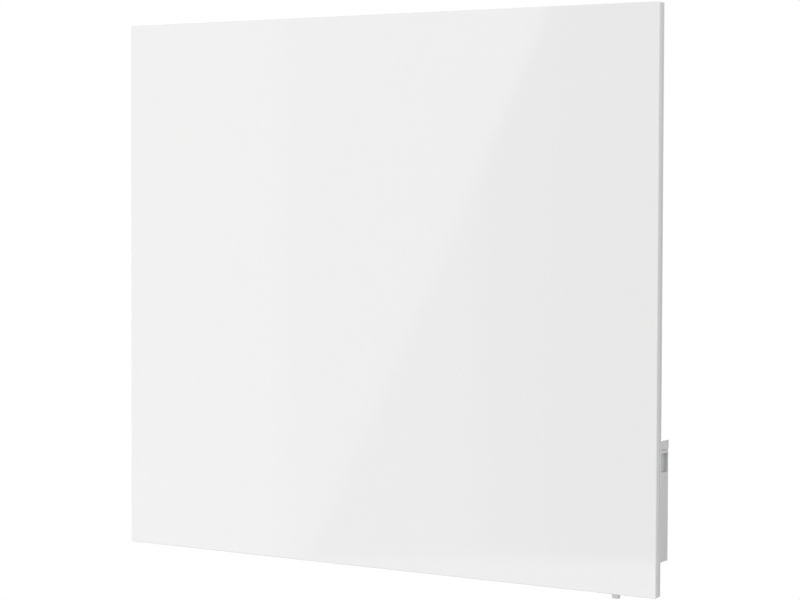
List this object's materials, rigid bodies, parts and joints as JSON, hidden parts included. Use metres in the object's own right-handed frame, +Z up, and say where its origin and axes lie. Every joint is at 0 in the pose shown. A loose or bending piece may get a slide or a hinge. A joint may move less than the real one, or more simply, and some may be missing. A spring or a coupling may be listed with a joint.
{
  "type": "wall convector heater",
  "caption": "Flat white glass-fronted convector heater that hangs on a wall bracket, with a control module behind its lower right corner.",
  "frame": {"origin": "on the wall plane, at the centre of the wall bracket's four screw holes, behind the centre of the panel", "axes": "+X to the right along the wall, +Y into the wall, +Z up; the glass faces -Y"},
  "size_m": [0.45, 0.084, 0.4084],
  "materials": {
    "panel_glass": "white glass, painted on its back, polished edges",
    "bond_tape": "foam adhesive tape",
    "white_steel": "white powder coat, fine texture",
    "zinc_steel": "galvanised sheet",
    "bright_screw": "zinc-plated",
    "fin_aluminium": "plain rolled sheet",
    "element_steel": "heat-dulled stainless sheath",
    "ceramic": "unglazed white ceramic",
    "white_plastic": "fine spark-eroded texture",
    "lens_plastic": "grey tinted window",
    "black_plastic": "moulded",
    "board_laminate": "glass-fibre board",
    "button_plastic": "satin",
    "black_rubber": "soft moulded",
    "white_rubber": "soft moulded",
    "tinned_brass": "tinned",
    "cutout_phenolic": "phenolic moulding",
    "lead_brown": "silicone insulation",
    "lead_blue": "silicone insulation",
    "lead_green": "silicone insulation"
  },
  "bodies": {
    "wall_bracket": {"bracket_crossbar_lower": "white_steel", "bracket_crossbar_upper": "white_steel", "bracket_rail_left": "white_steel", "bracket_rail_right": "white_steel", "bracket_rivets": "zinc_steel", "bumper_pads": "black_rubber"},
    "heater": {"air_sensor": "white_plastic", "board_screws": "bright_screw", "capacitor": "black_plastic", "carrier_tray": "white_steel", "casing_front": "white_steel", "casing_rear": "white_steel", "casing_rivets": "fin_aluminium", "casing_screws": "bright_screw", "casing_side_left": "white_steel", "casing_side_right": "white_steel", "control_board": "board_laminate", "control_cap": "white_plastic", "control_cover": "white_plastic", "control_housing": "white_plastic", "cover_screws": "bright_screw", "cutout_bracket": "zinc_steel", "display_lens": "lens_plastic", "display_module": "black_plastic", "earth_stud": "tinned_brass", "element_bracket_left": "zinc_steel", "element_bracket_right": "zinc_steel", "element_fins": "fin_aluminium", "element_sheath": "element_steel", "element_terminals": "tinned_brass", "gland_body": "white_plastic", "gland_locknut": "white_plastic", "gland_nut": "white_plastic", "gland_seal": "white_rubber", "glass_bond": "bond_tape", "glass_panel": "panel_glass", "heat_shield": "fin_aluminium", "inlet_grille": "white_steel", "lead_earth": "lead_green", "lead_grommet": "black_rubber", "lead_link": "lead_brown", "lead_live": "lead_brown", "lead_neutral": "lead_blue", "module_screws": "bright_screw", "outlet_grille": "white_steel", "panel_standoffs": "zinc_steel", "power_board": "board_laminate", "relay": "black_plastic", "rocker_frame": "black_plastic", "rocker_terminals": "tinned_brass", "standoff_screws": "bright_screw", "tact_switches": "black_plastic", "terminal_block": "white_plastic", "terminal_insulators": "ceramic", "thermal_cutout": "cutout_phenolic", "transformer": "black_plastic"},
    "up_button": {"button_up": "button_plastic"},
    "mode_button": {"button_mode": "button_plastic"},
    "down_button": {"button_down": "button_plastic"},
    "power_rocker": {"rocker": "black_plastic"}
  },
  "joints": [
    {"name": "heater_lift", "type": "slide", "parent": "wall_bracket", "child": "heater", "axis": [0, 0, 1], "range_m": [0, 0.012]},
    {"name": "up_press", "type": "slide", "parent": "heater", "child": "up_button", "axis": [-1, 0, 0], "range_m": [0, 0.0008], "stiffness_N_per_m": 1500},
    {"name": "mode_press", "type": "slide", "parent": "heater", "child": "mode_button", "axis": [-1, 0, 0], "range_m": [0, 0.0008], "stiffness_N_per_m": 1500},
    {"name": "down_press", "type": "slide", "parent": "heater", "child": "down_button", "axis": [-1, 0, 0], "range_m": [0, 0.0008], "stiffness_N_per_m": 1500},
    {"name": "power_rock", "type": "hinge", "parent": "heater", "child": "power_rocker", "pos_m": [0.1985, -0.052, -0.1812], "axis": [1, 0, 0], "range_deg": [-20, 0]}
  ]
}
